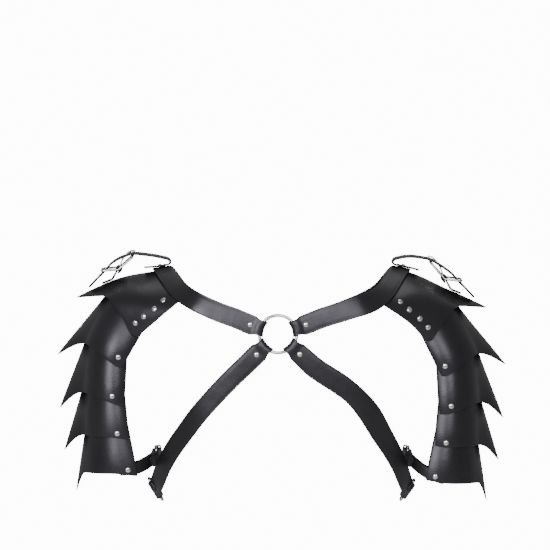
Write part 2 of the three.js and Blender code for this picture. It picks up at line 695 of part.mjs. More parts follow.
const archCentre = archPoint(ARCH_BUCKLE.centre);
const archSide = bankedSide(1);
const archBuckle = buckleFrame({
  near: archPoint(ARCH_BUCKLE.near),
  centre: archCentre,
  far: archPoint(ARCH_BUCKLE.far),
  side: archSide,
  halfWidth: ADJUSTING_HALF + BUCKLE_WIRE + 1,
  wire: BUCKLE_WIRE,
});
addPair("adjusting_buckle", archBuckle, NICKEL);
const archProng = prong({
  centre: archCentre,
  side: archSide.clone().normalize(),
  ahead: vec(1, 0, 0),
  wire: BUCKLE_WIRE,
  radius: PRONG_RADIUS,
  rod: archRod,
});
addPair("adjusting_prong", archProng, NICKEL);

// Adjusting chapes: folded round the centre bar, with a foot on the first lame
const CHAPE_TILT = 23;
const CHAPE_CLOSING = 4.5;
const CHAPE_TAIL = 5.5;
const CHAPE_FOOT = [0.66, 0.71, 0.76];
const chapeAhead = vec(-Math.sin(degToRad(CHAPE_TILT)), 0, Math.cos(degToRad(CHAPE_TILT)));
const chapeNormal = chapeAhead.clone().cross(BACKWARD).negate();
const chapeStations = fold({
  bar: archCentre,
  ahead: chapeAhead,
  normal: chapeNormal,
  wire: BUCKLE_WIRE,
  half: CHAPE_HALF,
  tail: CHAPE_TAIL,
  length: CHAPE_CLOSING,
  side: archSide,
});
for (const s of CHAPE_FOOT) {
  const normal = lameNormal(0, 0, s);
  const point = lamePoint(0, 0, s).addScaledVector(normal, GAP + LEATHER / 2);
  chapeStations.push({ point, normal, half: CHAPE_HALF, bow: STRAIGHT });
}
const archChape = slotted({
  chape: sheet(ribbon(chapeStations)),
  centre: archCentre,
  side: archSide.clone().normalize(),
  ahead: chapeAhead,
  wire: BUCKLE_WIRE,
  radius: PRONG_RADIUS,
});
addPair("adjusting_chape", archChape, LEATHER_BLACK);

// Arm straps: half of the loop round the inner arm, from inside the lowest lame to the middle. out is
// a share of the guard's reach, fwd of its depth and up of its drop.
const ARM_ROUTE = [
  { out: 0.379, fwd: 0.747, up: -0.891 },
  { out: 0.235, fwd: 0.7, up: -0.877 },
  { out: 0.112, fwd: 0.52, up: -0.845 },
  { out: 0.06, fwd: 0.27, up: -0.82 },
  { out: 0.045, fwd: 0, up: -0.812 },
];
const ARM_MIDDLE = 0.424;
const armPoint = (r) => vec(guardOut(r.out), -r.fwd * GUARD_DEPTH, r.up * GUARD_DROP);
const armRows = [...ARM_ROUTE, ...ARM_ROUTE.slice(0, -1).reverse().map((r) => ({ ...r, fwd: -r.fwd }))];
const armHints = armRows.map((r) => ({
  ...r,
  nOut: (r.out - ARM_MIDDLE) * GUARD_REACH,
  nFwd: r.fwd * GUARD_DEPTH,
  nUp: 0,
}));
const armLine = route(armHints, armPoint);
const armShare = (row) => row / (armRows.length - 1);
function armAt(row, lift) {
  return armLine.point(armShare(row)).addScaledVector(armLine.normal(armShare(row)), lift);
}

// Heights of the parts over the loop: the chape's legs lie on each side of the centre bar, the near bar
// lies on the chape, the far bar over the strap, and the strap on the chape and the near bar.
const ARM_BUCKLE_AT = 3.4;
const ARM_BUCKLE_REACH = 0.53;
const ARM_PRONG_RADIUS = 0.9;
const armCentreLift = -LAYER / 2;
const armBarLift = LEATHER / 2 + 2 * GAP + ARM_BUCKLE_WIRE;
const armFarLift = armBarLift + LEATHER / 2;
const armOverCentre = armCentreLift + ARM_BUCKLE_WIRE + 2 * LAYER + GAP;
const armOverBar = armBarLift + ARM_BUCKLE_WIRE + GAP + LEATHER / 2;
const armOverStrap = armOverBar + LEATHER / 2 + GAP + ARM_PRONG_RADIUS;
const armCentre = armAt(ARM_BUCKLE_AT, armCentreLift);
const armNormal = armLine.normal(armShare(ARM_BUCKLE_AT));
const armAhead = armLine.tangent(armShare(ARM_BUCKLE_AT));
armNormal.addScaledVector(armAhead, -armAhead.dot(armNormal)).normalize();
const armSide = armAhead.clone().cross(armNormal);

const armChapeStations = [
  ...fold({
    bar: armCentre,
    ahead: armAhead,
    normal: armNormal,
    wire: ARM_BUCKLE_WIRE,
    half: ARM_STRAP_HALF - 1,
    tail: 10,
  }),
  ...stationsAlong(armLine, armShare(2.6), 0, 6, ARM_STRAP_HALF - 1, STRAIGHT),
];
const armChape = slotted({
  chape: sheet(ribbon(armChapeStations)),
  centre: armCentre,
  side: armSide,
  ahead: armAhead,
  wire: ARM_BUCKLE_WIRE,
  radius: ARM_PRONG_RADIUS,
});
addPair("arm_chape", armChape, LEATHER_BLACK);

const ARM_TAIL = [
  { ahead: 0.55, lift: 0, wide: 1 },
  { ahead: 0.12, lift: armOverCentre, wide: 1 },
  { ahead: -0.08, lift: armOverCentre, wide: 1 },
  { ahead: -0.5, lift: armOverBar, wide: 1 },
  { ahead: -0.62, lift: armOverBar, wide: 1 },
  { ahead: -0.95, lift: LAYER + GAP, wide: 1 },
  { ahead: -1.2, lift: LAYER + GAP, wide: 1 },
  { ahead: -1.4, lift: LAYER + GAP, wide: 0.5 },
];
const armStations = stationsAlong(armLine, 1, armShare(ARM_BUCKLE_AT + 0.7), 12, ARM_STRAP_HALF, null);
for (const { ahead, lift, wide } of ARM_TAIL) {
  const row = ARM_BUCKLE_AT + ahead;
  const normal = armLine.normal(armShare(row));
  armStations.push({ point: armAt(row, lift), normal, half: ARM_STRAP_HALF * wide });
}
const armRod = [
  armCentre.clone().addScaledVector(armNormal, ARM_BUCKLE_WIRE + GAP + ARM_PRONG_RADIUS),
  armAt(ARM_BUCKLE_AT - 0.16, armOverCentre),
  armAt(ARM_BUCKLE_AT - 0.34, armOverStrap),
  armAt(ARM_BUCKLE_AT - ARM_BUCKLE_REACH - 0.12, armOverStrap),
];
const armHole = wireThrough(armRod, ARM_PRONG_RADIUS + GAP, 6, false);
addPair("arm_strap", cut(sheet(ribbon(armStations)), armHole), LEATHER_BLACK);

const armBuckle = buckleFrame({
  near: armAt(ARM_BUCKLE_AT - ARM_BUCKLE_REACH, armBarLift),
  centre: armCentre,
  far: armAt(ARM_BUCKLE_AT + ARM_BUCKLE_REACH, armFarLift),
  side: armSide,
  halfWidth: ARM_STRAP_HALF + ARM_BUCKLE_WIRE + 1,
  wire: ARM_BUCKLE_WIRE,
});
addPair("arm_buckle", armBuckle, NICKEL);
const armProng = prong({
  centre: armCentre,
  side: armSide,
  ahead: armAhead,
  wire: ARM_BUCKLE_WIRE,
  radius: ARM_PRONG_RADIUS,
  rod: armRod,
});
addPair("arm_prong", armProng, NICKEL);

export default root;
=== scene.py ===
"""A pair of lamed leather pauldrons on a chest harness, as worn: the visual model.

Lengths in the formulas are millimetres, with X outward on each side, and go into the meshes as metres.
The front faces -Y and the left pauldron is at +X.
"""
import math
from collections import namedtuple

import bpy
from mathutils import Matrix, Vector


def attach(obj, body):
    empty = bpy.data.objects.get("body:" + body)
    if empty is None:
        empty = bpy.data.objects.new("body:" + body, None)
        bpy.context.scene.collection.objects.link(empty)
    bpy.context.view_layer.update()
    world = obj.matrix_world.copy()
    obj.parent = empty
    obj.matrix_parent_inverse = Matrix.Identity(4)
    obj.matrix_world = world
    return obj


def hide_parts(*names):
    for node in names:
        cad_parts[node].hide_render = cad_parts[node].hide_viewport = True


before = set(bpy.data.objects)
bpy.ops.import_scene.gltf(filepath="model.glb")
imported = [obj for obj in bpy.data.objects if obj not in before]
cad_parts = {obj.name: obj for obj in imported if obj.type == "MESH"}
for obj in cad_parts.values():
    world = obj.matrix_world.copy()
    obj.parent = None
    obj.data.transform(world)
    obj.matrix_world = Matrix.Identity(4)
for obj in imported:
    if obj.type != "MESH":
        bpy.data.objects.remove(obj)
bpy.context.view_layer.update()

# Studio: a pale floor far below, a pale backdrop all round, three soft lights, and a long lens level
# with the shoulder straps.
FLOOR_DROP = 1.4
FLOOR_SIZE = 7.0
CAMERA_PLACE = (-0.0037, -2.7, -0.008)
FOCAL_PIXELS = 2150  # the focal length, in pixels of a picture PHOTO_PIXELS wide
PHOTO_PIXELS = 550
SENSOR_MM = 36
LIGHTS = [
    # name, place, aim, size in metres, watts
    ("key softbox", (-1.1, -2.4, 0.32), (-0.05, 0, -0.15), 1.2, 50),
    ("front softbox", (0.5, -3.2, 0.75), (0.05, 0, -0.1), 1.3, 44),
    ("top softbox", (0.1, 0.6, 1.9), (0, 0, -0.05), 1.5, 9),
]


def linear(hex_colour):
    """sRGB hex to linear RGBA."""
    channels = [int(hex_colour[i : i + 2], 16) / 255 for i in (1, 3, 5)]
    return [c / 12.92 if c <= 0.04045 else ((c + 0.055) / 1.055) ** 2.4 for c in channels] + [1]


def add_node(tree, kind, settings=None, values=None, links=None):
    """One node of a tree, with its settings, the values of its inputs, and the links into them."""
    node = tree.nodes.new(kind)
    for key, value in (settings or {}).items():
        setattr(node, key, value)
    for key, value in (values or {}).items():
        node.inputs[key].default_value = value
    for key, socket in (links or {}).items():
        tree.links.new(socket, node.inputs[key])
    return node


def new_material(name):
    """A named material with only its output node."""
    material = bpy.data.materials.new(name)
    material.use_nodes = True
    material.node_tree.nodes.clear()
    return material


def link_object(name, data):
    """An object of the data, in the scene."""
    made = bpy.data.objects.new(name, data)
    bpy.context.scene.collection.objects.link(made)
    return made


BACKDROP_STRENGTH = 14.0  # as the camera sees it: the view transform brings this to near white
BOUNCE_STRENGTH = 0.36  # as the article sees it

world = bpy.data.worlds.new("pale studio")
bpy.context.scene.world = world
world.use_nodes = True
sky = world.node_tree
sky.nodes.clear()
pale = linear("#f7f7f8")
backdrop = add_node(sky, "ShaderNodeBackground", values={"Color": pale, "Strength": BACKDROP_STRENGTH})
bounce = add_node(sky, "ShaderNodeBackground", values={"Color": pale, "Strength": BOUNCE_STRENGTH})
seen = add_node(sky, "ShaderNodeLightPath").outputs["Is Camera Ray"]
either = add_node(
    sky,
    "ShaderNodeMixShader",
    links={0: seen, 1: bounce.outputs["Background"], 2: backdrop.outputs["Background"]},
)
add_node(sky, "ShaderNodeOutputWorld", links={"Surface": either.outputs["Shader"]})

paper = new_material("matt paper floor")
paper_shader = add_node(
    paper.node_tree,
    "ShaderNodeBsdfPrincipled",
    values={"Base Color": linear("#eeeeee"), "Roughness": 0.9},
)
add_node(paper.node_tree, "ShaderNodeOutputMaterial", links={"Surface": paper_shader.outputs["BSDF"]})
reach = FLOOR_SIZE / 2
floor_mesh = bpy.data.meshes.new("floor")
floor_corners = [(x * reach, y * reach, -FLOOR_DROP) for x, y in ((-1, -1), (1, -1), (1, 1), (-1, 1))]
floor_mesh.from_pydata(floor_corners, [], [(0, 1, 2, 3)])
floor_mesh.materials.append(paper)
floor = link_object("floor", floor_mesh)

for name, place, aim, size, watts in LIGHTS:
    light = bpy.data.lights.new(name, "AREA")
    light.size = size
    light.energy = watts
    lamp = link_object(name, light)
    lamp.location = place
    lamp.rotation_euler = (Vector(aim) - Vector(place)).to_track_quat("-Z", "Y").to_euler()

camera = bpy.data.cameras.new("long lens")
camera.sensor_width = SENSOR_MM
camera.lens = SENSOR_MM * FOCAL_PIXELS / PHOTO_PIXELS
camera_object = link_object("long lens", camera)
camera_object.location = CAMERA_PLACE
camera_object.rotation_euler = (math.pi / 2, 0, 0)
bpy.context.scene.camera = camera_object


# Shoulder straps: 24 mm bands of 2.4 mm harness leather, from the front ring over the shoulder to the
# back ring. Each end is skived, folded round its ring and riveted. The cut edges are rounded, dyed and
# burnished, and a crease runs along each edge.
MM = 0.001
LEATHER = 2.4
GAP = 0.3
LAYER = LEATHER + GAP
STRAP_HALF = 12
EDGE_ROUND = 0.8
CREASE_INSET = 1.9
CREASE_HALF = 0.5
CREASE_DEPTH = 0.1
CROWN = 0.1
CREST_OUT = 150
CHEST_DEPTH = 118
RING_DROP = 79
BACK_SHARE = 0.93
RING_RADIUS = 22.5
RING_WIRE = 2
RING_FOLD_HALF = 9.4
RING_BOW = RING_RADIUS - math.sqrt(RING_RADIUS**2 - RING_FOLD_HALF**2)
FOLD_CLOSING = 8
FOLD_STEPS = 8
TURN_STEPS = 12
RING_TAIL = 22
SHOULDER_ANGLE = 19
SHOULDER_STEPS = 110
SIDE_DROP = 277

# The harness hangs a little to its left and lower there, and the left chest strap bows outward.
# These give each side its own place, and the back its greater breadth.
LEAN = 4.5
HANG = 6.3
CHEST_BOW = 14
SHOULDER_SAG = 4.5
SIDE_KEYS = ("name", "sign", "out", "drop", "bow", "sag", "chest_angle")
SIDES = [
    dict(zip(SIDE_KEYS, ("right", -1, -LEAN, -HANG, 0, 0, -43.5))),
    dict(zip(SIDE_KEYS, ("left", 1, LEAN, HANG, CHEST_BOW, SHOULDER_SAG, -42.6))),
]
NEAR_RING = 0.2 * CREST_OUT
DROP_RAMP = 0.43 * CREST_OUT
BOW_LEVEL = -0.54 * SIDE_DROP
BOW_SPAN = 0.17 * SIDE_DROP
SAG_OUT = 0.79 * CREST_OUT
SAG_SPAN = 0.19 * CREST_OUT
BACK_SPREAD = 0.106
BACK_FROM = 0.12 * CHEST_DEPTH
SPREAD_LEVEL = -0.1 * RING_DROP


def smoothstep(x, low, high):
    share = min(max((x - low) / (high - low), 0), 1)
    return share * share * (3 - 2 * share)


def lerp(a, b, share):
    return a + (b - a) * share


def breadth(y):
    """How much broader the back is than the front."""
    return 1 + BACK_SPREAD * max(0, y - BACK_FROM) / CHEST_DEPTH


def bell(x, middle, span):
    return math.exp(-(((x - middle) / span) ** 2))


def settle(side, p):
    """A point of the mean shape, placed on one side of the harness."""
    beyond = smoothstep(p.x, CREST_OUT, CREST_OUT + NEAR_RING)
    within = smoothstep(p.x, NEAR_RING, 0.5 * CREST_OUT) * (1 - beyond)
    bow = side["bow"] * bell(p.z, BOW_LEVEL, BOW_SPAN) * within
    out = p.x + bow + side["out"] * smoothstep(p.x, NEAR_RING, CREST_OUT)
    ahead = smoothstep(-p.y, 0.25 * CHEST_DEPTH, 0.7 * CHEST_DEPTH)
    high = 1 - smoothstep(-p.z, RING_DROP, 1.5 * RING_DROP)
    sag = side["sag"] * bell(p.x, SAG_OUT, SAG_SPAN) * ahead * high
    up = p.z - sag - side["drop"] * smoothstep(p.x, CREST_OUT, CREST_OUT + DROP_RAMP)
    broad = breadth(p.y)
    return Vector((side["sign"] * out * broad, p.y, SPREAD_LEVEL + (up - SPREAD_LEVEL) * broad))


# Smooth black harness leather. Its drum-dyed, plated grain side has a satin wax finish: the eye sees a
# broad soft gleam, a little violet, broken by slow waves in the hide and a faint grain.
GRAIN_MM = 1.7  # drawn coarser than the real 0.4 mm pores, which the render couldn't show
PORE_DEPTH_MM = 0.25
WAVE_MM = 26
WAVE_HEIGHT_MM = 1.6
MOTTLE_MM = 60


def leather_material(name, dark, light, roughness, specular, grain, coat):
    """Leather of two close shades, with waves, grain and a wax coat."""
    material = new_material(name)
    tree = material.node_tree
    place = add_node(tree, "ShaderNodeTexCoord").outputs["Object"]
    mottle = add_node(
        tree,
        "ShaderNodeTexNoise",
        values={"Scale": 1 / (MOTTLE_MM * MM), "Detail": 3},
        links={"Vector": place},
    )
    # A mix node's inputs 6 and 7 are its two colours, and its output 2 is the mixed one.
    shade = add_node(
        tree,
        "ShaderNodeMix",
        {"data_type": "RGBA"},
        {6: linear(dark), 7: linear(light)},
        {0: mottle.outputs["Fac"]},
    )
    gloss = add_node(
        tree,
        "ShaderNodeMapRange",
        values={"From Min": 0.3, "From Max": 0.7, "To Min": roughness - 0.06, "To Max": roughness + 0.07},
        links={"Value": mottle.outputs["Fac"]},
    )
    wave = add_node(
        tree, "ShaderNodeTexNoise", values={"Scale": 1 / (WAVE_MM * MM), "Detail": 2}, links={"Vector": place}
    )
    pores = add_node(
        tree,
        "ShaderNodeTexVoronoi",
        {"feature": "SMOOTH_F1"},
        {"Scale": 1 / (GRAIN_MM * MM), "Smoothness": 0.6},
        {"Vector": place},
    )
    waved = add_node(
        tree,
        "ShaderNodeBump",
        values={"Strength": 0.35, "Distance": WAVE_HEIGHT_MM * MM},
        links={"Height": wave.outputs["Fac"]},
    )
    grained = add_node(
        tree,
        "ShaderNodeBump",
        values={"Strength": grain, "Distance": PORE_DEPTH_MM * MM},
        links={"Height": pores.outputs["Distance"], "Normal": waved.outputs["Normal"]},
    )
    shader = add_node(
        tree,
        "ShaderNodeBsdfPrincipled",
        values={
            "IOR": 1.5,
            "Specular IOR Level": specular,
            "Coat Weight": coat,
            "Coat Roughness": 0.28,
            "Specular Tint": linear("#f2efff"),
        },
        links={
            "Base Color": shade.outputs[2],
            "Roughness": gloss.outputs["Result"],
            "Normal": grained.outputs["Normal"],
        },
    )
    add_node(tree, "ShaderNodeOutputMaterial", links={"Surface": shader.outputs["BSDF"]})
    return material


LEATHER_FINISHES = [
    leather_material(*row)
    for row in (
        # name, dark and light shade, roughness, specular level, strength of the grain, wax coat
        ("black harness leather, waxed grain", "#111112", "#1b1a1d", 0.36, 0.45, 0.25, 0.08),
        ("black leather, burnished edge", "#0a0a0b", "#121213", 0.36, 0.35, 0.1, 0.1),
        ("black leather, sueded flesh side", "#171617", "#242325", 0.85, 0.15, 0.8, 0),
    )
]
GRAIN, EDGE, FLESH = range(3)


def crossing(half):
    """The outline of a strap cut across: (across, lift, finish of the face that starts there)."""
    flat = half - EDGE_ROUND
    crease = half - CREASE_INSET
    face = LEATHER / 2
    top = [
        (-flat, 0), (-crease - CREASE_HALF, 0), (-crease, -CREASE_DEPTH), (-crease + CREASE_HALF, 0),
        (-crease / 2, 0.6 * CROWN), (0, CROWN), (crease / 2, 0.6 * CROWN),
        (crease - CREASE_HALF, 0), (crease, -CREASE_DEPTH), (crease + CREASE_HALF, 0),
    ]
    outline = [(u, face + v, GRAIN) for u, v in top]
    for way in (1, -1):
        for degrees in (90, 60, 30, 0, -30, -60):
            angle = math.radians(degrees)
            above = (degrees > 0) - (degrees < 0)
            lift = way * (EDGE_ROUND * math.sin(angle) + above * (face - EDGE_ROUND))
            outline.append((way * (flat + EDGE_ROUND * math.cos(angle)), lift, EDGE))
        if way == 1:
            outline += [(flat, -face, FLESH), (0, -face, FLESH)]
    return outline


def catmull(points, share):
    """A point on a centripetal curve through points, with share from 0 to 1."""
    place = share * (len(points) - 1)
    i = min(int(place), len(points) - 2)
    weight = place - i
    b, c = points[i], points[i + 1]
    a = points[i - 1] if i > 0 else b * 2 - c
    d = points[i + 2] if i + 2 < len(points) else c * 2 - b
    steps = [max(math.sqrt((q - p).length), 1e-4) for p, q in ((a, b), (b, c), (c, d))]
    start = (b - a) / steps[0] - (c - a) / (steps[0] + steps[1]) + (c - b) / steps[1]
    end = (c - b) / steps[1] - (d - b) / (steps[1] + steps[2]) + (d - c) / steps[2]
    start *= steps[1]
    end *= steps[1]
    w2, w3 = weight**2, weight**3
    return b + start * weight + (-3 * b + 3 * c - 2 * start - end) * w2 + (2 * b - 2 * c + start + end) * w3


class Route:
    """A strap's line over the body: smooth points and normals through the rows of a table."""

    def __init__(self, points, normals):
        self.points = points
        self.normals = normals

    def point(self, share):
        return catmull(self.points, share)

    def normal(self, share):
        return catmull(self.normals, share).normalized()

    def tangent(self, share):
        return (self.point(min(share + 1e-4, 1)) - self.point(max(share - 1e-4, 0))).normalized()

    def square_normal(self, share):
        along = self.tangent(share)
        normal = self.normal(share)
        return (normal - along * along.dot(normal)).normalized()


# A place along a strap: its middle, a normal, half its width there, how far its edges run ahead of its
# middle, and the way across it where that isn't square to the strap
Station = namedtuple("Station", "point normal half bow side", defaults=(None,))


def stations_along(line, start, end, count, half):
    return [
        Station(line.point(s), line.normal(s), half, Vector())
        for s in (lerp(start, end, i / count) for i in range(count + 1))
    ]


def fold(bar, ahead, normal, wire, half, tail, narrow=None, bowed=0, length=FOLD_CLOSING, side=None):
    """Stations of a strap's end round a bar: from its free end under the strap, round, and back above."""
    narrow = half if narrow is None else narrow
    radius = wire + GAP + LEATHER / 2
    leg = LAYER / 2
    flat = bowed + length

    def at(u, v, nu, nv, width, bow):
        return Station(bar + ahead * u + normal * v, ahead * nu + normal * nv, width, ahead * bow, side)

    def slope(way):
        steps = []
        for i in range(FOLD_STEPS + 1):
            share = i / FOLD_STEPS
            u = lerp(-flat, -bowed, share)
            closed = leg if way > 0 else leg + GAP / 2
            lift = lerp(closed, radius, smoothstep(share, 0, 1))
            width = lerp(half, narrow, smoothstep(share, 0, 0.75))
            steps.append(at(u, way * lift, 0, way, width, bowed * smoothstep(share, 0, 1)))
        return steps

    # The free end is skived a little narrower, and closes on the strap above it.
    stations = [at(-tail, -leg - GAP, 0, -1, half * 0.9, 0)]
    stations += [at(lerp(-tail, -flat, i / 4), -leg - GAP * (1 - i / 8), 0, -1, half, 0) for i in (1, 2, 3)]
    stations += slope(-1)
    for i in range(1, TURN_STEPS):
        angle = math.radians(lerp(-90, 90, i / TURN_STEPS))
        c, s = math.cos(angle), math.sin(angle)
        stations.append(at(radius * c - bowed * (1 - c), radius * s, c, s, narrow, bowed))
    stations += slope(1)[::-1]
    return stations


def strap_mesh(name, stations, side):
    """A strap through its stations, settled on one side of the harness, as a mesh with three finishes."""
    vertices, faces, finishes = [], [], []
    tags = [finish for _, _, finish in crossing(STRAP_HALF)]
    count = len(tags)
    for i, station in enumerate(stations):
        before = stations[max(i - 1, 0)].point
        after = stations[min(i + 1, len(stations) - 1)].point
        along = (after - before).normalized()
        normal = (station.normal - along * along.dot(station.normal)).normalized()
        across = along.cross(normal)
        if station.side:
            across = station.side * math.copysign(1, station.side.dot(across))
            normal = across.cross(along).normalized()
        for u, v, _ in crossing(station.half):
            bow = station.bow * (u / station.half) ** 2
            vertices.append(settle(side, station.point + across * u + normal * v + bow) * MM)
    for i in range(len(stations) - 1):
        for j in range(count):
            k = (j + 1) % count
            faces.append((i * count + j, i * count + k, (i + 1) * count + k, (i + 1) * count + j))
            finishes.append(tags[j])
    faces.append(tuple(reversed(range(count))))
    faces.append(tuple((len(stations) - 1) * count + j for j in range(count)))
    finishes += [EDGE, EDGE]
    return finished_mesh(name, vertices, faces, LEATHER_FINISHES, finishes)


def finished_mesh(name, vertices, faces, materials, finishes=None):
    """A smooth-shaded object with outward faces from lists of points, faces and finish numbers."""
    mesh = bpy.data.meshes.new(name)
    mesh.from_pydata([tuple(v) for v in vertices], [], faces)
    for material in materials:
        mesh.materials.append(material)
    if finishes:
        mesh.polygons.foreach_set("material_index", finishes)
    mesh.polygons.foreach_set("use_smooth", [True] * len(mesh.polygons))
    made = link_object(name, mesh)
    volume = sum(
        mesh.vertices[p.vertices[0]].co.dot(
            mesh.vertices[p.vertices[i]].co.cross(mesh.vertices[p.vertices[i + 1]].co)
        )
        for p in mesh.polygons
        for i in range(1, len(p.vertices) - 1)
    )
    if volume < 0:
        mesh.flip_normals()
    return made


def wear(piece, slot, *nodes):
    """The piece rides with the article and stands for its plain solids."""
    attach(piece, "root")
    if nodes:
        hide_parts(*nodes)


def ring_direction(degrees):
    return Vector((math.cos(math.radians(degrees)), 0, math.sin(math.radians(degrees))))


def ring_fold(front, degrees):
    """The end of a strap round a round ring, whose wire curves across the strap."""
    away = ring_direction(degrees)
    centre = Vector((0, -CHEST_DEPTH if front else CHEST_DEPTH * BACK_SHARE, -RING_DROP))
    normal = Vector((0, -1 if front else 1, 0))
    return fold(
        centre + away * RING_RADIUS, -away, normal, RING_WIRE, STRAP_HALF, RING_TAIL, RING_FOLD_HALF, RING_BOW
    )


SHOULDER_ROUTE = [
    # out, forward, up, then the normal's out, forward, up; shares of the crest, chest and ring drop
    (0.353, 1.002, -0.766, 0, 1, 0.05),
    (0.487, 0.985, -0.68, 0.06, 1, 0.1),
    (0.667, 0.945, -0.535, 0.12, 1, 0.2),
    (0.765, 0.855, -0.435, 0.2, 0.95, 0.3),
    (0.84, 0.71, -0.325, 0.3, 0.8, 0.5),
    (0.902, 0.49, -0.195, 0.28, 0.5, 0.75),
    (0.958, 0.25, -0.075, 0.2, 0.2, 0.95),
    (1, 0, 0, 0.17, 0, 0.98),
]


def to_back(row):
    out, forward, up, n_out, n_forward, n_up = row
    return (out, -forward * BACK_SHARE, up, n_out, -n_forward, n_up)


shoulder_rows = SHOULDER_ROUTE + [to_back(row) for row in reversed(SHOULDER_ROUTE[:-1])]
shoulder_line = Route(
    [Vector((r[0] * CREST_OUT, -r[1] * CHEST_DEPTH, r[2] * RING_DROP + LEATHER / 2)) for r in shoulder_rows],
    [Vector((r[3], -r[4], r[5])) for r in shoulder_rows],
)
for side in SIDES:
    stations = ring_fold(True, SHOULDER_ANGLE)
    stations += stations_along(shoulder_line, 0, 1, SHOULDER_STEPS, STRAP_HALF)
    stations += ring_fold(False, SHOULDER_ANGLE)[::-1]
    node = "shoulder_strap_" + side["name"]
    wear(strap_mesh("shoulder_band_" + side["name"], stations, side), "leather", node)


# Chest straps and back straps: the same harness leather, from the round rings down and outward to the
# side rings under the arms, each end folded and riveted.
SIDE_OUT = 158
SIDE_RING_WIRE = 1.75
SIDE_RING_HALF_LENGTH = 15.5
SIDE_RING_HALF_PITCH = 7
SIDE_RING_CORNER = 3
SIDE_RING_PLAY = 1
SIDE_TAIL = 14
CHEST_STEPS = 60
SIDE_RING_CENTRE = Vector((SIDE_OUT, 0, -SIDE_DROP))
SIDE_RING_NORMAL = Vector((0.83, 0, -0.55)).normalized()
BACKWARD = Vector((0, 1, 0))
CHEST_ROUTE = [
    # shares of the side ring's distance out, the chest's depth and the side ring's drop
    (0.259, 1.002, -0.426, 0, 1, 0),
    (0.364, 0.979, -0.482, 0.05, 1, 0),
    (0.497, 0.932, -0.558, 0.15, 1, 0),
    (0.63, 0.86, -0.64, 0.3, 0.95, -0.02),
    (0.741, 0.754, -0.721, 0.45, 0.88, -0.06),
    (0.837, 0.61, -0.796, 0.6, 0.78, -0.12),
    (0.913, 0.449, -0.87, 0.72, 0.62, -0.25),
    (0.965, 0.285, -0.94, 0.8, 0.35, -0.42),
]


def chest_line(rows):
    return Route(
        [Vector((r[0] * SIDE_OUT, -r[1] * CHEST_DEPTH, r[2] * SIDE_DROP)) for r in rows],
        [Vector((r[3], -r[4], r[5])) for r in rows],
    )


def side_fold(front):
    ahead = BACKWARD if front else -BACKWARD
    bar = SIDE_RING_CENTRE - ahead * SIDE_RING_HALF_PITCH
    narrow = SIDE_RING_HALF_LENGTH - SIDE_RING_CORNER - SIDE_RING_PLAY
    return fold(bar, ahead, SIDE_RING_NORMAL, SIDE_RING_WIRE, STRAP_HALF, SIDE_TAIL, narrow)[::-1]


for side in SIDES:
    for word, front, rows in (
        ("chest", True, CHEST_ROUTE),
        ("back", False, [to_back(row) for row in CHEST_ROUTE]),
    ):
        stations = ring_fold(front, side["chest_angle"])
        stations += stations_along(chest_line(rows), 0, 1, CHEST_STEPS, STRAP_HALF)
        stations += side_fold(front)
        band = strap_mesh(f"{word}_band_{side['name']}", stations, side)
        wear(band, "leather", f"{word}_strap_{side['name']}")


# Round rings on the breastbone and between the shoulder blades: 4 mm steel wire bent, welded and
# nickel-plated. The plate is bright, and handling has left faint rubbing in it.
nickel = new_material("bright nickel plate on steel")
tree = nickel.node_tree
place = add_node(tree, "ShaderNodeTexCoord").outputs["Object"]
RUBBING_MM = 3
rubbing = add_node(
    tree,
    "ShaderNodeTexNoise",
    values={"Scale": 1 / (RUBBING_MM * MM), "Detail": 4},
    links={"Vector": place},
)
polish = add_node(
    tree,
    "ShaderNodeMapRange",
    values={"From Min": 0.35, "From Max": 0.75, "To Min": 0.1, "To Max": 0.24},
    links={"Value": rubbing.outputs["Fac"]},
)
plate = add_node(
    tree,
    "ShaderNodeMix",
    {"data_type": "RGBA"},
    {6: linear("#d9d9d8"), 7: linear("#c4c3c2")},
    {0: rubbing.outputs["Fac"]},
)
scuffed = add_node(
    tree,
    "ShaderNodeBump",
    values={"Strength": 0.12, "Distance": 0.0001},
    links={"Height": rubbing.outputs["Fac"]},
)
nickel_shader = add_node(
    tree,
    "ShaderNodeBsdfPrincipled",
    values={"Metallic": 1.0},
    links={
        "Base Color": plate.outputs[2],
        "Roughness": polish.outputs["Result"],
        "Normal": scuffed.outputs["Normal"],
    },
)
add_node(tree, "ShaderNodeOutputMaterial", links={"Surface": nickel_shader.outputs["BSDF"]})


def wire_parts(points, radius, closed, sides=14):
    """Vertices and faces of round wire through points, closed on itself or with rounded ends."""
    radii = [radius] * len(points)
    if not closed:
        first, last = points[0], points[-1]
        start = (points[0] - points[1]).normalized()
        end = (points[-1] - points[-2]).normalized()
        caps = [(math.sin(math.radians(a)), math.cos(math.radians(a))) for a in (30, 60, 80)]
        rounded_start = [first + start * radius * u for u, _ in reversed(caps)]
        points = rounded_start + points + [last + end * radius * u for u, _ in caps]
        radii = [radius * v for _, v in reversed(caps)] + radii + [radius * v for _, v in caps]
    count = len(points)
    vertices, faces = [], []
    across = Vector((0.3, 0.9, 0.2))  # any way that no wire starts in
    for i, point in enumerate(points):
        before = points[i - 1] if closed or i > 0 else points[0]
        after = points[(i + 1) % count] if closed or i + 1 < count else points[-1]
        along = (after - before).normalized()
        across = (across - along * along.dot(across)).normalized()
        up = along.cross(across)
        for k in range(sides):
            angle = 2 * math.pi * k / sides
            vertices.append(point + (across * math.cos(angle) + up * math.sin(angle)) * radii[i])
    rounds = count if closed else count - 1
    for i in range(rounds):
        n = (i + 1) % count
        for k in range(sides):
            m = (k + 1) % sides
            faces.append((i * sides + k, i * sides + m, n * sides + m, n * sides + k))
    if not closed:
        faces.append(tuple(reversed(range(sides))))
        faces.append(tuple((count - 1) * sides + k for k in range(sides)))
    return vertices, faces


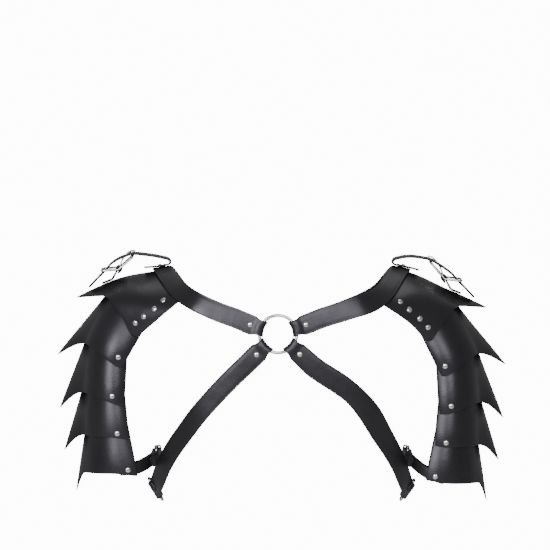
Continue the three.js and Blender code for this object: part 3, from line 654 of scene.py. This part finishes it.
def wire_object(name, parts, side=None):
    """One object of several lengths of wire."""
    vertices, faces = [], []
    for part_vertices, part_faces in parts:
        base = len(vertices)
        vertices += [(settle(side, v) if side else v) * MM for v in part_vertices]
        faces += [tuple(base + i for i in face) for face in part_faces]
    return finished_mesh(name, vertices, faces, [nickel])


RING_STEPS = 96
for word, depth in (("front", -CHEST_DEPTH), ("back", CHEST_DEPTH * BACK_SHARE)):
    broad = breadth(depth)
    centre = Vector((0, depth, SPREAD_LEVEL - (RING_DROP + SPREAD_LEVEL) * broad))
    turn = [ring_direction(360 * i / RING_STEPS) * RING_RADIUS * broad for i in range(RING_STEPS)]
    ring = wire_object("round_ring_" + word, [wire_parts([centre + p for p in turn], RING_WIRE, True)])
    wear(ring, "nickel", "ring_" + word)


# Side rings under the arms: 3.5 mm plated wire bent into rectangles. The long bars take the chest strap
# and the back strap.
CORNER_STEPS = 8


def rounded_rectangle(half_length, half_width, corner):
    points = []
    for quarter, (a, b) in enumerate(((1, 1), (-1, 1), (-1, -1), (1, -1))):
        for i in range(CORNER_STEPS + 1):
            angle = (quarter + i / CORNER_STEPS) * math.pi / 2
            x = a * (half_length - corner) + corner * math.cos(angle)
            y = b * (half_width - corner) + corner * math.sin(angle)
            points.append((x, y))
    return points


side_bar = SIDE_RING_NORMAL.cross(BACKWARD)
for side in SIDES:
    outline = rounded_rectangle(SIDE_RING_HALF_LENGTH, SIDE_RING_HALF_PITCH, SIDE_RING_CORNER)
    points = [SIDE_RING_CENTRE + side_bar * x + BACKWARD * y for x, y in outline]
    ring = wire_object("rectangular_ring_" + side["name"], [wire_parts(points, SIDE_RING_WIRE, True)], side)
    wear(ring, "nickel", "side_ring_" + side["name"])


# Lames: five plates of the same leather on each arm, cut with a spike in the middle of the lower edge,
# wet-moulded round the shoulder and arm, and riveted at their ends so that each lies under the one above.
GUARD_REACH = 132
GUARD_DROP = 285
GUARD_DEPTH = 70
WRAP = math.radians(110)
LAME_TUCK = 1.5
HINGE_LAP = 9
HINGE_FROM = 0.234
HINGE_TUCK = 1.6
HINGE_FLAT = 15
SPIKE_SHARE = 0.3
SPIKE_POWER = 1.6
HOOK_POWER = 2.6
FLARE_POWER = 1.15
FALL_FROM = 0.18  # share of the way round where the lower edge starts to fall to its corner
SWELL_PEAK = 6.75  # brings the highest value of s * s * (1 - s) to one
SWELL_IN_MIDDLE = 0.2
SWELL_OUT = 0.7
SWELL_UP = 0.5
AROUND = 72
DOWN = 26
CROWDING = 1.3  # above one, the columns of faces stand closer near the spike
LAME_KEYS = (
    "top_out top_up edge_out edge_up inset root_out root_up corner_out corner_up depth "
    "tip_out tip_up bulge late"
).split()
LAME_ROWS = [
    # shares of the guard's reach, drop and depth
    (0, 0, 0, 0, 0, 0.576, 0.137, 0.208, 0.305, 1, 0.818, 0.147, 0.08, 1.6),
    (0.53, 0.13, 0.091, 0.22, 0.065, 0.758, 0.346, 0.348, 0.446, 0.943, 1, 0.4, 0.043, 1.3),
    (0.705, 0.295, 0.303, 0.358, 0.028, 0.773, 0.56, 0.333, 0.611, 0.893, 0.977, 0.635, 0.029, 1.3),
    (0.735, 0.498, 0.333, 0.54, 0.015, 0.765, 0.747, 0.292, 0.751, 0.85, 0.932, 0.821, 0.029, 1.3),
    (0.72, 0.684, 0.303, 0.688, 0.008, 0.758, 0.912, 0.212, 0.907, 0.807, 0.818, 1, 0.029, 1.3),
]
LAMES = [dict(zip(LAME_KEYS, row)) for row in LAME_ROWS]


def guard_out(share):
    return CREST_OUT + share * GUARD_REACH


def guard_up(share):
    return -share * GUARD_DROP


def hinge(t):
    """The first lame's upper edge under the shoulder strap, and the point it heads for."""
    share = lerp(0.5, HINGE_FROM, t)
    normal = shoulder_line.square_normal(share)
    across = shoulder_line.tangent(share).cross(normal)
    under = LEATHER / 2 + HINGE_TUCK
    edge = shoulder_line.point(share) + across * (STRAP_HALF - HINGE_LAP) - normal * under
    return edge, edge + across * HINGE_FLAT


def lame_point(index, t, s):
    """A point of a lame's outer face: t from -1 behind to 1 in front, s from 0 above to 1 below."""
    lame = LAMES[index]
    a = abs(t)
    theta = a * WRAP
    around = (1 - math.cos(theta)) / (1 - math.cos(WRAP))
    fall = smoothstep(min(max((a - FALL_FROM) / (1 - FALL_FROM), 0), 1) ** lame["late"], 0, 1)
    forward = -math.copysign(1, t) * math.sin(theta) * GUARD_DEPTH
    lower = Vector(
        (
            guard_out(lerp(lame["root_out"], lame["corner_out"], around)),
            lame["depth"] * forward,
            guard_up(lerp(lame["root_up"], lame["corner_up"], fall)),
        )
    )
    if index == 0:
        edge, flat = hinge(t)
        p = edge.lerp(flat, s).lerp(flat.lerp(lower, s), s)
    else:
        tuck = (LAYER + LAME_TUCK) / GUARD_DEPTH
        upper = Vector(
            (
                guard_out(lerp(lame["top_out"], lame["edge_out"], around)),
                (LAMES[index - 1]["depth"] - tuck - lame["inset"]) * forward,
                guard_up(lerp(lame["top_up"], lame["edge_up"], around)),
            )
        )
        p = upper.lerp(lower, s)
    peak = max(0, 1 - a / SPIKE_SHARE)
    flare = s**FLARE_POWER
    p.x += peak**SPIKE_POWER * flare * (lame["tip_out"] - lame["root_out"]) * GUARD_REACH
    p.z -= peak**HOOK_POWER * flare * (lame["tip_up"] - lame["root_up"]) * GUARD_DROP
    swell = lame["bulge"] * SWELL_PEAK * s * s * (1 - s) * lerp(SWELL_IN_MIDDLE, 1, math.sin(theta))
    p.x += swell * GUARD_DEPTH * math.cos(theta) * SWELL_OUT
    p.y += swell * forward
    p.z += swell * GUARD_DEPTH * SWELL_UP
    return p


def lame_normal(index, t, s):
    step = 0.01
    down = lame_point(index, t, min(s + step, 1)) - lame_point(index, t, max(s - step, 0))
    around = lame_point(index, t + step, s) - lame_point(index, t - step, s)
    return around.cross(down).normalized()


def finish_plate(plate):
    """Gives the moulded face its thickness and rounded, burnished edges, and applies them."""
    wall = plate.modifiers.new("thickness", "SOLIDIFY")
    wall.thickness = LEATHER * MM
    wall.offset = -1
    wall.use_even_offset = True
    wall.thickness_clamp = 1
    wall.material_offset = FLESH
    wall.material_offset_rim = EDGE
    rounding = plate.modifiers.new("edges", "BEVEL")
    rounding.width = EDGE_ROUND * MM
    rounding.segments = 3
    rounding.limit_method = "ANGLE"
    rounding.angle_limit = math.radians(50)
    plain = bpy.data.meshes.new_from_object(plate.evaluated_get(bpy.context.evaluated_depsgraph_get()))
    plate.modifiers.clear()
    plate.data = plain


columns = [math.copysign(abs(i / AROUND) ** CROWDING, i) for i in range(-AROUND, AROUND + 1)]
rows = DOWN + 1
for index in range(len(LAMES)):
    for side in SIDES:
        vertices = [settle(side, lame_point(index, t, j / DOWN)) * MM for t in columns for j in range(rows)]
        faces = []
        for i in range(len(columns) - 1):
            for j in range(DOWN):
                a = i * rows + j
                quad = (a, a + 1, a + rows + 1, a + rows)
                faces.append(quad if side["sign"] < 0 else quad[::-1])
        mesh = bpy.data.meshes.new("lame")
        mesh.from_pydata([tuple(v) for v in vertices], [], faces)
        for finish in LEATHER_FINISHES:
            mesh.materials.append(finish)
        mesh.polygons.foreach_set("use_smooth", [True] * len(mesh.polygons))
        plate = link_object(f"plate_{index + 1}_{side['name']}", mesh)
        finish_plate(plate)
        wear(plate, "leather", f"lame_{index + 1}_{side['name']}")


# Adjusting straps: 19 mm straps riveted over the crests. Each bends back on itself, arches over the
# shoulder and passes through a centre-bar buckle of 3 mm plated wire, whose prong holds it. A short
# chape, folded round the centre bar, ties the buckle to the first lame.
ARCH_RISE = 16.4
ARCH_BANK = math.radians(8)
ARCH_TWIST = (2, 6)
ADJUSTING_HALF = 9.5
BUCKLE_WIRE = 1.5
CHAPE_HALF = 7
BUCKLE_PLAY = 1
PRONG_RADIUS = 1.1
ARCH_STEPS = 120
ARCH_TIP = 11
ARCH_ROUTE = [
    # out: share of the guard's reach; up: share of the arch's rise
    (0.167, 0.006), (0.061, 0.152), (-0.03, 0.28), (-0.067, 0.36), (-0.08, 0.524), (-0.064, 0.732),
    (-0.008, 0.872), (0.083, 0.988), (0.182, 1), (0.28, 0.939), (0.348, 0.701), (0.424, 0.366),
    (0.489, -0.03), (0.538, -0.488), (0.598, -0.976), (0.695, -1.8),
]
ARCH_NEAR = (0.28, 0.726)
ARCH_CENTRE = (0.409, -0.348)
ARCH_FAR = (0.571, -0.463)
ARCH_ROD = [(0.402, -0.18), (0.383, 0.244), (0.356, 0.66), (0.322, 0.99), (0.284, 1.15), (0.262, 1.17)]
CHAPE_TILT = math.radians(23)
CHAPE_CLOSING = 4.5
CHAPE_TAIL = 5.5
CHAPE_FOOT = (0.66, 0.76)  # shares of the way down the first lame
CHAPE_STEPS = 6


def arch_point(row):
    return Vector((guard_out(row[0]), 0, row[1] * ARCH_RISE))


def banked_side(share):
    """The way across the arch, whose upper face is banked a little forward."""
    return Vector((0, 1, share * math.tan(ARCH_BANK)))


def smooth_line(points, steps):
    return [catmull(points, i / steps) for i in range(steps + 1)]


def tail_share(place, total, tip):
    """The share of its width that a strap keeps near its pointed end."""
    left = max(total - place, 0)
    return 1 if left > tip else max(math.sqrt(1 - (1 - left / tip) ** 2), 0.08)


def buckle_parts(near, centre, far, side_way, half_width, wire):
    """A centre-bar buckle: end bars and bent sides of one wire, and the bar between them."""
    corner = wire * 2
    points = []
    for end, way in ((near, 1), (far, -1)):
        reach = end - centre
        straight = centre + reach * (1 - corner / reach.length)
        # From the centre bar to the middle of the end bar: (place along the buckle, distance off its middle)
        half_loop = [(centre.lerp(straight, share), half_width) for share in (0, 0.5, 1)]
        for angle in map(math.radians, (22.5, 45, 67.5)):
            off = half_width - corner * (1 - math.cos(angle))
            half_loop.append((straight.lerp(end, math.sin(angle)), off))
        half_loop.append((end, half_width - corner))
        points += [place + side_way * way * off for place, off in half_loop]
        points.append(end)
        points += [place - side_way * way * off for place, off in reversed(half_loop[1:])]
    bar = [centre + side_way * lerp(-half_width, half_width, i / 8) for i in range(9)]
    return [wire_parts(points, wire, True, 16), wire_parts(bar, wire * 0.96, False, 16)]


EYE_STEPS = 28


def prong_parts(centre, ahead, up, wire, radius, rod):
    """A prong: an eye round the centre bar and a rod that bends over the near bar."""
    eye_radius = wire + GAP + radius
    turn = [math.tau * i / EYE_STEPS for i in range(EYE_STEPS)]
    eye = [centre + ahead * eye_radius * math.cos(a) + up * eye_radius * math.sin(a) for a in turn]
    return [wire_parts(eye, radius, True, 12), wire_parts(smooth_line(rod, 24), radius, False, 12)]


arch_line = smooth_line([arch_point(row) for row in ARCH_ROUTE], ARCH_STEPS)
run = [0]
for a, b in zip(arch_line, arch_line[1:]):
    run.append(run[-1] + (b - a).length)
arch_stations = []
for i, point in enumerate(arch_line):
    along = arch_line[min(i + 1, ARCH_STEPS)] - arch_line[max(i - 1, 0)]
    half = ADJUSTING_HALF * tail_share(run[i], run[-1], ARCH_TIP)
    twist = smoothstep(i / ARCH_STEPS * (len(ARCH_ROUTE) - 1), *ARCH_TWIST)
    arch_stations.append(Station(point, (-BACKWARD).cross(along), half, Vector(), banked_side(twist)))

buckle_centre = arch_point(ARCH_CENTRE)
across = banked_side(1)
buckle_half = ADJUSTING_HALF + BUCKLE_WIRE + BUCKLE_PLAY
buckle_wires = buckle_parts(
    arch_point(ARCH_NEAR), buckle_centre, arch_point(ARCH_FAR), across, buckle_half, BUCKLE_WIRE
)
rod = [arch_point(row) for row in ARCH_ROD]
outward = Vector((1, 0, 0))
upward = across.cross(outward).normalized()
prong_wires = prong_parts(buckle_centre, outward, upward, BUCKLE_WIRE, PRONG_RADIUS, rod)

ahead = Vector((-math.sin(CHAPE_TILT), 0, math.cos(CHAPE_TILT)))
normal = -ahead.cross(BACKWARD)
chape_stations = fold(
    buckle_centre, ahead, normal, BUCKLE_WIRE, CHAPE_HALF, CHAPE_TAIL, length=CHAPE_CLOSING, side=across
)
for i in range(CHAPE_STEPS + 1):
    s = lerp(*CHAPE_FOOT, i / CHAPE_STEPS)
    n = lame_normal(0, 0, s)
    chape_stations.append(Station(lame_point(0, 0, s) + n * (GAP + LEATHER / 2), n, CHAPE_HALF, Vector()))

for side in SIDES:
    word = side["name"]
    wear(strap_mesh("arched_band_" + word, arch_stations, side), "leather", "adjusting_strap_" + word)
    wear(wire_object("shoulder_buckle_" + word, buckle_wires, side), "nickel", "adjusting_buckle_" + word)
    wear(wire_object("shoulder_prong_" + word, prong_wires, side), "nickel", "adjusting_prong_" + word)
    wear(strap_mesh("shoulder_loop_" + word, chape_stations, side), "leather", "adjusting_chape_" + word)


# Arm straps: 16 mm straps that close the lowest lame round the inner arm, with a small buckle of
# 2.5 mm plated wire on the stretch that faces the chest.
ARM_STRAP_HALF = 8
ARM_BUCKLE_WIRE = 1.25
ARM_PRONG_RADIUS = 0.9
ARM_ROUTE = [
    # out: share of the guard's reach; forward: of its depth; up: of its drop
    (0.379, 0.747, -0.891), (0.235, 0.7, -0.877), (0.112, 0.52, -0.845),
    (0.06, 0.27, -0.82), (0.045, 0, -0.812),
]
ARM_MIDDLE = 0.424
# Places along the arm strap are counted in rows of its table.
ARM_BUCKLE_AT = 3.4
ARM_BUCKLE_REACH = 0.53
ARM_LOOP_FROM = 2.6
ARM_BAND_UNTIL = ARM_BUCKLE_AT + 0.7
ARM_LOOP_HALF = ARM_STRAP_HALF - 1
ARM_LOOP_TAIL = 10
ARM_TAIL_LENGTH = 34
ARM_TIP = 8
ARM_LOOP_STEPS = 26
ARM_BAND_STEPS = 40
arm_rows = ARM_ROUTE + [(out, -forward, up) for out, forward, up in reversed(ARM_ROUTE[:-1])]
arm_line = Route(
    [Vector((guard_out(out), -forward * GUARD_DEPTH, up * GUARD_DROP)) for out, forward, up in arm_rows],
    [Vector(((out - ARM_MIDDLE) * GUARD_REACH, -forward * GUARD_DEPTH, 0)) for out, forward, _ in arm_rows],
)


def arm_share(row):
    return row / (len(arm_rows) - 1)


def arm_at(row, lift):
    return arm_line.point(arm_share(row)) + arm_line.normal(arm_share(row)) * lift


arm_centre_lift = -LAYER / 2
arm_bar_lift = LEATHER / 2 + 2 * GAP + ARM_BUCKLE_WIRE
arm_far_lift = arm_bar_lift + LEATHER / 2
arm_over_centre = arm_centre_lift + ARM_BUCKLE_WIRE + 2 * LAYER + GAP
arm_over_bar = arm_bar_lift + ARM_BUCKLE_WIRE + GAP + LEATHER / 2
arm_over_strap = arm_over_bar + LEATHER / 2 + GAP + ARM_PRONG_RADIUS
arm_centre = arm_at(ARM_BUCKLE_AT, arm_centre_lift)
arm_ahead = arm_line.tangent(arm_share(ARM_BUCKLE_AT))
arm_normal = arm_line.square_normal(arm_share(ARM_BUCKLE_AT))
ARM_TAIL = [
    # rows from the buckle's centre, lift
    (0.55, 0), (0.12, arm_over_centre), (-0.08, arm_over_centre), (-0.5, arm_over_bar), (-0.62, arm_over_bar),
    (-0.95, LAYER + GAP), (-1.2, LAYER + GAP), (-1.4, LAYER + GAP),
]
arm_loop = fold(arm_centre, arm_ahead, arm_normal, ARM_BUCKLE_WIRE, ARM_LOOP_HALF, ARM_LOOP_TAIL)
arm_loop += stations_along(arm_line, arm_share(ARM_LOOP_FROM), 0, ARM_LOOP_STEPS, ARM_LOOP_HALF)

arm_band = stations_along(arm_line, 1, arm_share(ARM_BAND_UNTIL), ARM_BAND_STEPS, ARM_STRAP_HALF)
over = [arm_at(ARM_BUCKLE_AT + row, lift) for row, lift in ARM_TAIL]
for i in range(ARM_BAND_STEPS + 1):
    share = i / ARM_BAND_STEPS
    row = lerp(ARM_TAIL[0][0], ARM_TAIL[-1][0], share) + ARM_BUCKLE_AT
    half = ARM_STRAP_HALF * tail_share(share * ARM_TAIL_LENGTH, ARM_TAIL_LENGTH, ARM_TIP)
    arm_band.append(Station(catmull(over, share), arm_line.normal(arm_share(row)), half, Vector()))

arm_buckle_wires = buckle_parts(
    arm_at(ARM_BUCKLE_AT - ARM_BUCKLE_REACH, arm_bar_lift),
    arm_centre,
    arm_at(ARM_BUCKLE_AT + ARM_BUCKLE_REACH, arm_far_lift),
    arm_ahead.cross(arm_normal),
    ARM_STRAP_HALF + ARM_BUCKLE_WIRE + BUCKLE_PLAY,
    ARM_BUCKLE_WIRE,
)
rod = [
    arm_centre + arm_normal * (ARM_BUCKLE_WIRE + GAP + ARM_PRONG_RADIUS),
    arm_at(ARM_BUCKLE_AT - 0.16, arm_over_centre),
    arm_at(ARM_BUCKLE_AT - 0.34, arm_over_strap),
    arm_at(ARM_BUCKLE_AT - ARM_BUCKLE_REACH - 0.12, arm_over_strap),
]
arm_prong_wires = prong_parts(arm_centre, arm_ahead, arm_normal, ARM_BUCKLE_WIRE, ARM_PRONG_RADIUS, rod)

for side in SIDES:
    word = side["name"]
    wear(strap_mesh("arm_loop_" + word, arm_loop, side), "leather", "arm_chape_" + word)
    wear(strap_mesh("arm_band_" + word, arm_band, side), "leather", "arm_strap_" + word)
    wear(wire_object("small_buckle_" + word, arm_buckle_wires, side), "nickel", "arm_buckle_" + word)
    wear(wire_object("small_prong_" + word, arm_prong_wires, side), "nickel", "arm_prong_" + word)


# Rivets: 7 mm double-cap rivets of nickel-plated brass, pressed flat on the leather, four down the
# first lame's front edge, one at each other lame's corner, and one through each fold. The back has
# the same as the front.
RIVET_RADIUS = 3.5
RIVET_RISE = 1.5
RING_RIVET = 35.5  # from the middle of the round ring
# Seats on the lames: shares of the way round and of the way down
FIRST_LAME_RIVETS = [(0.8, 0.42), (0.835, 0.62), (0.84, 0.79), (0.845, 0.91)]
CORNER_RIVETS = [(0.88, 0.86), (0.82, 0.89), (0.85, 0.92), (0.9, 0.9)]
# Two small rivets hold each adjusting strap on its shoulder strap
CREST_RIVET_RADIUS = 2.6
CREST_RIVETS = [(146.5, -3, 4.9), (153, 3, 4.9)]
CREST_RIVET_AIM = Vector((0.15, 0, 1)).normalized()

rivet_tree = bpy.data.node_groups.new("double-cap rivets", "GeometryNodeTree")
sockets = rivet_tree.interface
sockets.new_socket("Geometry", in_out="INPUT", socket_type="NodeSocketGeometry")
for label, size in (("Cap radius", RIVET_RADIUS * MM), ("Cap rise", RIVET_RISE * MM)):
    sockets.new_socket(label, in_out="INPUT", socket_type="NodeSocketFloat").default_value = size
sockets.new_socket("Geometry", in_out="OUTPUT", socket_type="NodeSocketGeometry")
given = add_node(rivet_tree, "NodeGroupInput")
dome = add_node(
    rivet_tree,
    "GeometryNodeMeshUVSphere",
    values={"Segments": 24, "Rings": 12},
    links={"Radius": given.outputs["Cap radius"]},
)
flatness = add_node(
    rivet_tree,
    "ShaderNodeMath",
    {"operation": "DIVIDE"},
    links={0: given.outputs["Cap rise"], 1: given.outputs["Cap radius"]},
)
squash = add_node(
    rivet_tree, "ShaderNodeCombineXYZ", values={"X": 1, "Y": 1}, links={"Z": flatness.outputs["Value"]}
)
cap = add_node(
    rivet_tree,
    "GeometryNodeTransform",
    links={"Geometry": dome.outputs["Mesh"], "Scale": squash.outputs["Vector"]},
)
smooth_cap = add_node(rivet_tree, "GeometryNodeSetShadeSmooth", links={"Geometry": cap.outputs["Geometry"]})
aim = add_node(rivet_tree, "GeometryNodeInputNamedAttribute", {"data_type": "FLOAT_VECTOR"}, {"Name": "aim"})
upright = add_node(
    rivet_tree,
    "FunctionNodeAlignRotationToVector",
    {"axis": "Z"},
    links={"Vector": aim.outputs["Attribute"]},
)
placed = add_node(
    rivet_tree,
    "GeometryNodeInstanceOnPoints",
    links={
        "Points": given.outputs["Geometry"],
        "Instance": smooth_cap.outputs["Geometry"],
        "Rotation": upright.outputs["Rotation"],
    },
)
real = add_node(rivet_tree, "GeometryNodeRealizeInstances", links={"Geometry": placed.outputs["Instances"]})
plated = add_node(
    rivet_tree,
    "GeometryNodeSetMaterial",
    values={"Material": nickel},
    links={"Geometry": real.outputs["Geometry"]},
)
add_node(rivet_tree, "NodeGroupOutput", links={"Geometry": plated.outputs["Geometry"]})


def rivet_object(name, side, seats, radius=RIVET_RADIUS):
    """Rivets on seats of (point, normal), made a plain mesh."""
    mesh = bpy.data.meshes.new(name)
    places = [settle(side, p) * MM for p, _ in seats]
    aims = [(settle(side, p + n) - settle(side, p)).normalized() for p, n in seats]
    mesh.from_pydata([tuple(p) for p in places], [], [])
    attribute = mesh.attributes.new("aim", "FLOAT_VECTOR", "POINT")
    attribute.data.foreach_set("vector", [c for a in aims for c in a])
    made = link_object(name, mesh)
    maker = made.modifiers.new("rivets", "NODES")
    maker.node_group = rivet_tree
    for item in rivet_tree.interface.items_tree:
        if item.item_type == "SOCKET" and item.in_out == "INPUT" and item.name == "Cap radius":
            maker[item.identifier] = radius * MM
    made.data = bpy.data.meshes.new_from_object(made.evaluated_get(bpy.context.evaluated_depsgraph_get()))
    made.modifiers.clear()
    return made


def lame_seat(index, t, s):
    return (lame_point(index, t, s), lame_normal(index, t, s))


def ring_seat(front, degrees):
    depth = CHEST_DEPTH if front else CHEST_DEPTH * BACK_SHARE
    way = -1 if front else 1
    centre = Vector((0, way * (depth + LAYER / 2 + LEATHER / 2), -RING_DROP))
    return (centre + ring_direction(degrees) * RING_RIVET, Vector((0, way, 0)))


for side in SIDES:
    for front in (True, False):
        way = 1 if front else -1
        seats = [ring_seat(front, SHOULDER_ANGLE), ring_seat(front, side["chest_angle"])]
        seats += [lame_seat(0, way * t, s) for t, s in FIRST_LAME_RIVETS]
        seats += [lame_seat(i + 1, way * t, s) for i, (t, s) in enumerate(CORNER_RIVETS)]
        nodes = []
        if front:
            words = ["shoulder", "chest", "1a", "1b", "1c", "1d", "2", "3", "4", "5"]
            nodes = [f"rivet_{word}_{side['name']}" for word in words]
        word = "front" if front else "rear"
        wear(rivet_object(f"{word}_rivets_{side['name']}", side, seats), "nickel", *nodes)
    crest = [(Vector(place), CREST_RIVET_AIM) for place in CREST_RIVETS]
    wear(rivet_object("crest_rivets_" + side["name"], side, crest, CREST_RIVET_RADIUS), "nickel")
